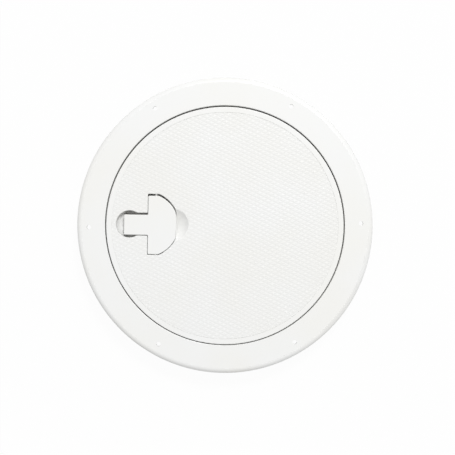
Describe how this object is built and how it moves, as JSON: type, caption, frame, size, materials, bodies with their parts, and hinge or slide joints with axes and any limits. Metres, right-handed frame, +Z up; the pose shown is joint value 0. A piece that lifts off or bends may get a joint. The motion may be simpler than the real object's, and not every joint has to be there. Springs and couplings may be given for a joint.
{
  "type": "deck inspection plate",
  "caption": "Round flush deck inspection plate with a non-slip lid, a flush rocker lift handle, a screw flange and a gasketed neck.",
  "frame": {"origin": "centre of the six-hole screw circle on the flange's underside, which is the deck surface", "axes": "+Z up out of the deck, along the plate's axis; -X from the centre towards the handle; +X towards the lid's hooks"},
  "size_m": [0.27, 0.27, 0.03],
  "materials": {
    "flange_plastic": "white satin moulded plastic",
    "lid_plastic": "white moulded plastic with a fine diamond grip",
    "bowl_plastic": "white satin moulded plastic",
    "handle_plastic": "white smooth satin moulded plastic",
    "seal_rubber": "black soft rubber",
    "stainless": "plain stainless steel",
    "spring_steel": "stainless spring steel"
  },
  "bodies": {
    "ring": {"flange_ring": "flange_plastic", "lid_gasket": "seal_rubber"},
    "lid": {"lid_cover": "lid_plastic", "handle_bowl": "bowl_plastic", "bowl_gasket": "seal_rubber", "pivot_pin": "stainless", "return_spring": "spring_steel", "spring_clip_left": "spring_steel", "spring_clip_right": "spring_steel", "bowl_screw_1": "stainless", "bowl_screw_2": "stainless", "bowl_screw_3": "stainless", "bowl_screw_4": "stainless", "bowl_screw_5": "stainless", "bowl_screw_6": "stainless", "bowl_screw_7": "stainless", "bowl_screw_8": "stainless", "clip_screw_left": "stainless", "clip_screw_right": "stainless"},
    "handle": {"lift_handle": "handle_plastic"}
  },
  "joints": [
    {"name": "lid_tilt", "type": "hinge", "parent": "ring", "child": "lid", "pos_m": [0.1083, 0, 0.005], "axis": [0, 1, 0], "range_deg": [0, 75], "deforming": ["spring_clip_left", "spring_clip_right"]},
    {"name": "handle_lift", "type": "hinge", "parent": "lid", "child": "handle", "pos_m": [-0.063, 0, 0.001], "axis": [0, -1, 0], "range_deg": [0, 30], "stiffness_Nm_per_rad": 0.04, "springref_deg": -28.65, "deforming": ["return_spring"]}
  ]
}
